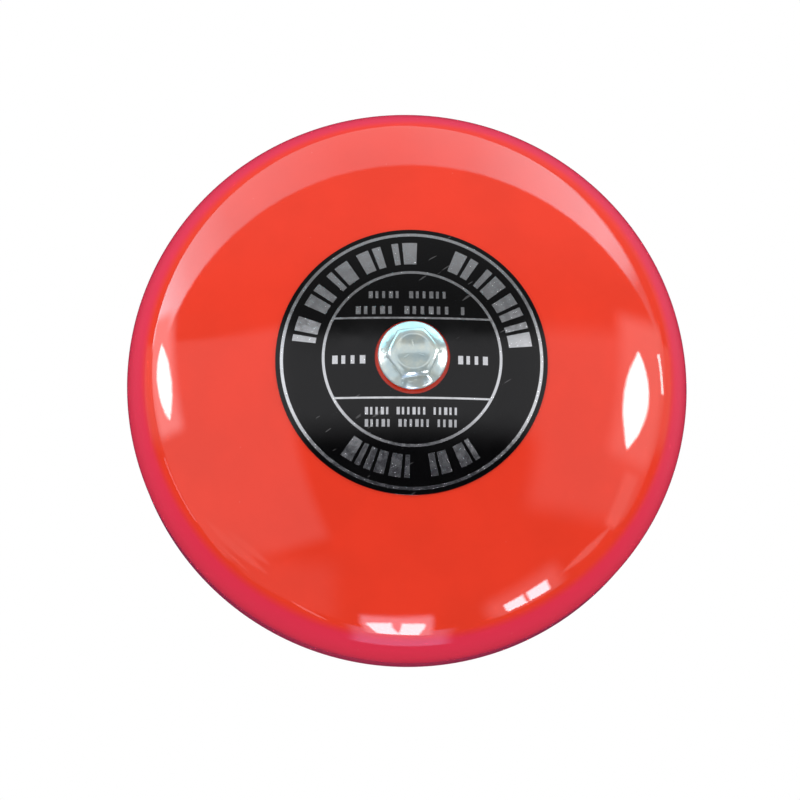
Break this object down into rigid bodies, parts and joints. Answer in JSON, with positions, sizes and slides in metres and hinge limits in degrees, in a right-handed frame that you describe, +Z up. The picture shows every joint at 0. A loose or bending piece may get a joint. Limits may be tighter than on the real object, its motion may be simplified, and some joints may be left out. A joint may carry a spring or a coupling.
{
  "type": "fire alarm bell",
  "caption": "Wall-mounted motor-driven alarm bell: a domed steel gong on a central bolt over a sealed housing with motor, cam and sprung striker.",
  "frame": {"origin": "centre of the mounting plate's back face, on the wall", "axes": "+Z up, +Y into the wall, +X to the right as seen from the room; the gong faces -Y"},
  "size_m": [0.15, 0.0657, 0.15],
  "materials": {
    "red_enamel": "high gloss",
    "label_black": "gloss",
    "zinc_plate": "plated",
    "bright_steel": "satin",
    "cast_alloy": "cast",
    "black_plastic": "moulded",
    "black_rubber": "matte",
    "brass": "machined",
    "ferrite": "matte",
    "copper_winding": "enamelled",
    "white_nylon": "moulded",
    "board_green": "satin",
    "capacitor_sleeve": "gloss",
    "terminal_green": "moulded",
    "wire_red": "satin",
    "wire_black": "satin"
  },
  "bodies": {
    "base": {"mounting_plate": "cast_alloy", "wall_gasket": "black_rubber", "housing": "cast_alloy", "housing_screw_1": "zinc_plate", "housing_screw_2": "zinc_plate", "housing_screw_3": "zinc_plate", "cable_grommet": "black_rubber", "mechanism_chassis": "cast_alloy", "cover_gasket": "black_rubber", "mechanism_cover": "black_plastic", "cover_screw_1": "zinc_plate", "cover_screw_2": "zinc_plate", "cover_screw_3": "zinc_plate", "gong_pillar": "bright_steel", "pillar_screw": "zinc_plate", "pillar_seal": "black_rubber", "gong_seat_washer": "white_nylon", "motor_can": "bright_steel", "motor_magnet_ring": "ferrite", "motor_front_bearing": "brass", "motor_end_cap": "white_nylon", "motor_terminal_positive": "brass", "motor_terminal_negative": "brass", "motor_brush_upper": "ferrite", "motor_brush_lower": "ferrite", "motor_clamp": "bright_steel", "motor_clamp_screw_1": "zinc_plate", "motor_clamp_screw_2": "zinc_plate", "striker_bush": "brass", "striker_seal": "black_rubber", "circuit_board": "board_green", "board_screw_1": "zinc_plate", "board_screw_2": "zinc_plate", "suppression_capacitor": "capacitor_sleeve", "polarity_diode": "black_plastic", "terminal_block": "terminal_green", "terminal_screw_1": "brass", "terminal_screw_2": "brass", "lead_positive": "wire_red", "lead_negative": "wire_black"},
    "rotor": {"motor_shaft": "bright_steel", "motor_armature": "copper_winding", "motor_commutator": "copper_winding", "drive_cam": "white_nylon", "cam_set_screw": "bright_steel"},
    "striker": {"striker_rod": "bright_steel", "striker_collar": "zinc_plate", "hammer_head": "white_nylon", "striker_return_spring": "bright_steel"},
    "gong_body": {"gong": "red_enamel", "label_disc": "label_black"},
    "bolt_carrier": {"bolt_sealing_washer": "black_rubber"},
    "bolt": {"gong_bolt": "zinc_plate"}
  },
  "joints": [
    {"name": "motor_spin", "type": "hinge", "parent": "base", "child": "rotor", "pos_m": [0, -0.024, -0.019], "axis": [1, 0, 0], "continuous": true},
    {"name": "striker_travel", "type": "slide", "parent": "base", "child": "striker", "axis": [0, 0, -1], "range_m": [0, 0.003], "stiffness_N_per_m": 150, "deforming": ["striker_return_spring"]},
    {"name": "gong_pull_off", "type": "slide", "parent": "base", "child": "gong_body", "axis": [0, -1, 0], "range_m": [0, 0.08]},
    {"name": "bolt_back_off", "type": "slide", "parent": "gong_body", "child": "bolt_carrier", "axis": [0, -1, 0], "range_m": [0, 0.01]},
    {"name": "bolt_turn", "type": "hinge", "parent": "bolt_carrier", "child": "bolt", "pos_m": [0, 0, 0], "axis": [0, -1, 0], "range_deg": [0, 2880]}
  ],
  "couplings": [
    {"joint": "bolt_turn", "follows": "bolt_back_off", "rad_per_m": 5026.5}
  ]
}
